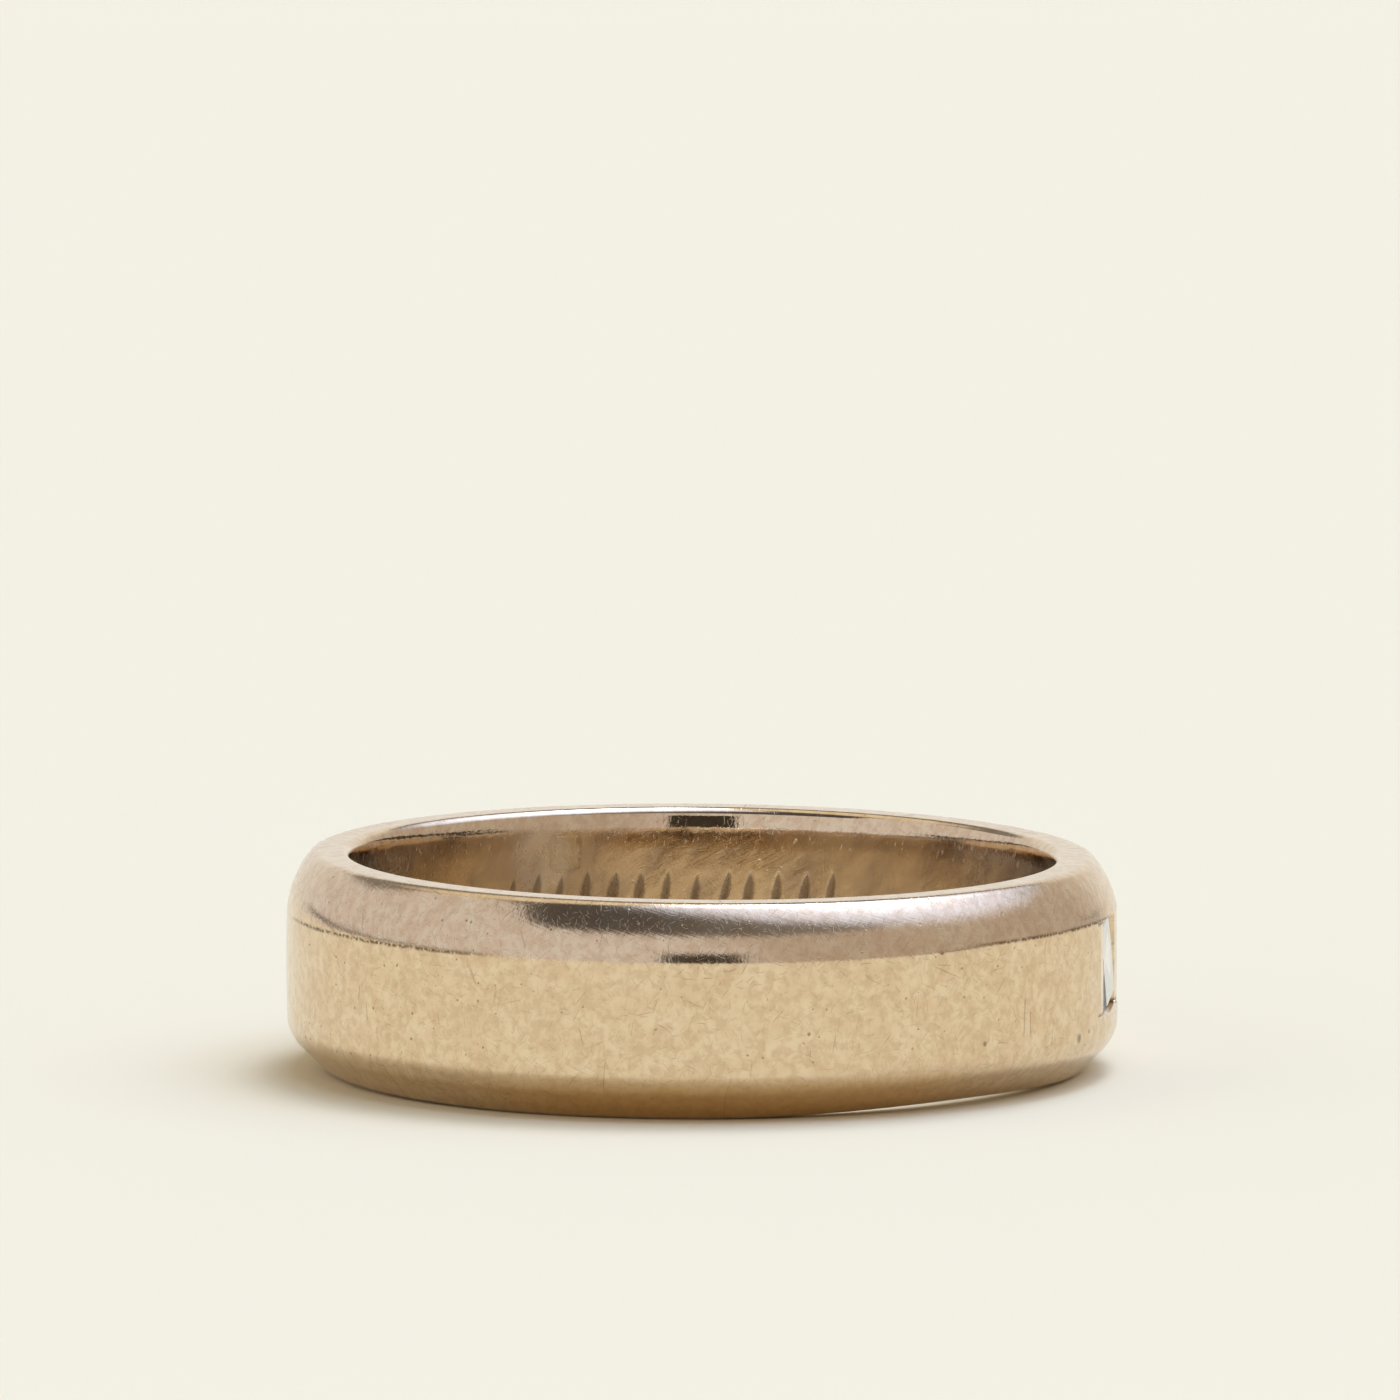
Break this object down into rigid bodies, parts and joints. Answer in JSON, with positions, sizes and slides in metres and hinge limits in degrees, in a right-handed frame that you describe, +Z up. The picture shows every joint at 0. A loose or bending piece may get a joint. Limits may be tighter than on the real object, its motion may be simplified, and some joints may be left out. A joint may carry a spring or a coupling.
{
  "type": "wedding band",
  "caption": "Plain finger ring with soft worn shoulders and a square stone set flush in a small window on its face.",
  "frame": {"origin": "on the finger axis, in the plane of the lower edge that the ring stands on", "axes": "+Z up along the finger axis, +X out through the middle of the stone"},
  "size_m": [0.023, 0.023, 0.006],
  "materials": {
    "gold": "polished pale gold with fine wear",
    "diamond": "polished facets"
  },
  "bodies": {
    "root": {"band": "gold", "stone": "diamond"}
  },
  "joints": []
}
